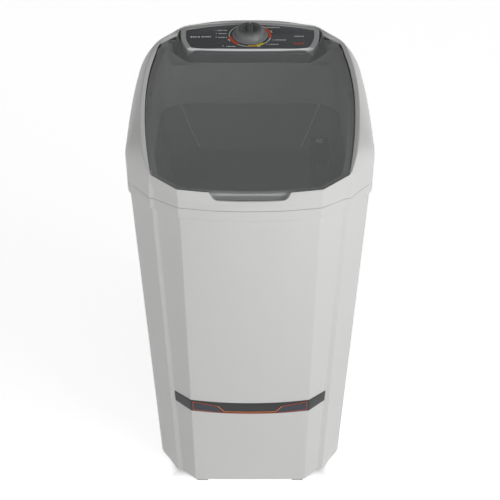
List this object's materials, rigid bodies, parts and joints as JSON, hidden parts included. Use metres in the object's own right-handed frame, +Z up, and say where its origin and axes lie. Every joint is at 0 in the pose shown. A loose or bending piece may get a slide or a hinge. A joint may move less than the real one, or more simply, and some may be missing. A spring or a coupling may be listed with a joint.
{
  "type": "semi-automatic washing machine",
  "caption": "Top-loading semi-automatic washing machine: tapered silver cabinet, arched smoked lid between raised arms, timer knob on a sloping console, belt-driven agitator.",
  "frame": {"origin": "on the floor, under the middle of the machine, half way between its front and the end of its drain spigot", "axes": "+Z up, -Y towards the front where the lid opens, +X to the right of someone who faces the machine"},
  "size_m": [0.5188, 0.543, 0.9613],
  "materials": {
    "silver_shell": "fine satin silver moulding",
    "dark_trim": "smooth dark grey moulding",
    "console_silver": "silver painted moulding",
    "smoked_lid": "smoked transparent plastic",
    "black_rubber": "matt rubber",
    "screw_steel": "zinc-plated steel",
    "shaft_steel": "ground steel",
    "frame_steel": "black painted sheet steel",
    "tub_plastic": "satin grey polypropylene",
    "white_plastic": "white polypropylene",
    "black_plastic": "black polypropylene",
    "net_fabric": "woven nylon net",
    "bronze": "sintered bronze",
    "cast_housing": "die-cast aluminium",
    "pulley_alloy": "cast and turned alloy",
    "lamination_steel": "stacked steel sheets",
    "copper_winding": "enamelled copper wire",
    "cable_black": "insulated wires in a sleeve",
    "grey_hose": "grey flexible hose"
  },
  "bodies": {
    "root": {"cabinet": "silver_shell", "trim_strip": "dark_trim", "rear_cover": "dark_trim", "rear_cover_screws": "screw_steel", "base_frame": "frame_steel", "base_screws": "screw_steel", "front_feet": "black_rubber", "rear_feet": "black_rubber", "top_cover": "silver_shell", "cover_screws": "screw_steel", "console_frame": "console_silver", "console_screws": "screw_steel", "console_plate": "dark_trim", "timer_body": "white_plastic", "lid_bumpers": "black_rubber", "hinge_pins": "screw_steel", "tub": "tub_plastic", "drain_grate": "black_plastic", "filter_housing": "dark_trim", "shaft_seal": "black_rubber", "shaft_bushes": "bronze", "bearing_housing": "cast_housing", "drive_plate": "frame_steel", "drive_bolts": "screw_steel", "drive_belt": "black_rubber", "motor_end_bells": "cast_housing", "motor_stack": "lamination_steel", "motor_winding": "copper_winding", "motor_bushes": "bronze", "motor_mounts": "black_rubber", "motor_bolts": "screw_steel", "capacitor": "white_plastic", "capacitor_clip": "dark_trim", "terminal_block": "white_plastic", "cord_gland": "black_rubber", "wiring_loom": "cable_black", "motor_lead": "cable_black", "capacitor_lead": "cable_black", "drain_elbow": "dark_trim", "drain_hose": "grey_hose", "hose_clips": "screw_steel", "drain_outlet": "dark_trim"},
    "lid": {"lid": "smoked_lid"},
    "knob": {"timer_knob": "dark_trim", "timer_shaft": "shaft_steel"},
    "drive": {"agitator": "white_plastic", "agitator_screw": "screw_steel", "agitator_shaft": "shaft_steel", "drive_pulley": "pulley_alloy", "pulley_nut": "screw_steel"},
    "rotor": {"motor_rotor": "lamination_steel", "motor_shaft": "shaft_steel", "motor_pulley": "pulley_alloy", "motor_fan": "black_plastic"},
    "filter": {"lint_filter": "black_plastic", "filter_net": "net_fabric", "filter_knob": "white_plastic"}
  },
  "joints": [
    {"name": "lid_hinge", "type": "hinge", "parent": "root", "child": "lid", "pos_m": [0, 0.182, 0.928], "axis": [-1, 0, 0], "range_deg": [0, 112]},
    {"name": "knob_turn", "type": "hinge", "parent": "root", "child": "knob", "pos_m": [0, 0.193, 0.93539], "axis": [0, -0.225, 0.9744], "continuous": true},
    {"name": "agitator_spin", "type": "hinge", "parent": "root", "child": "drive", "pos_m": [0, -0.033, 0.3], "axis": [0, 0, 1], "continuous": true},
    {"name": "motor_spin", "type": "hinge", "parent": "root", "child": "rotor", "pos_m": [0, 0.125, 0.2], "axis": [0, 0, 1], "continuous": true},
    {"name": "filter_lift", "type": "slide", "parent": "root", "child": "filter", "axis": [0, 0, 1], "range_m": [0, 0.06]}
  ],
  "couplings": [
    {"joint": "motor_spin", "follows": "agitator_spin", "ratio": 5}
  ]
}
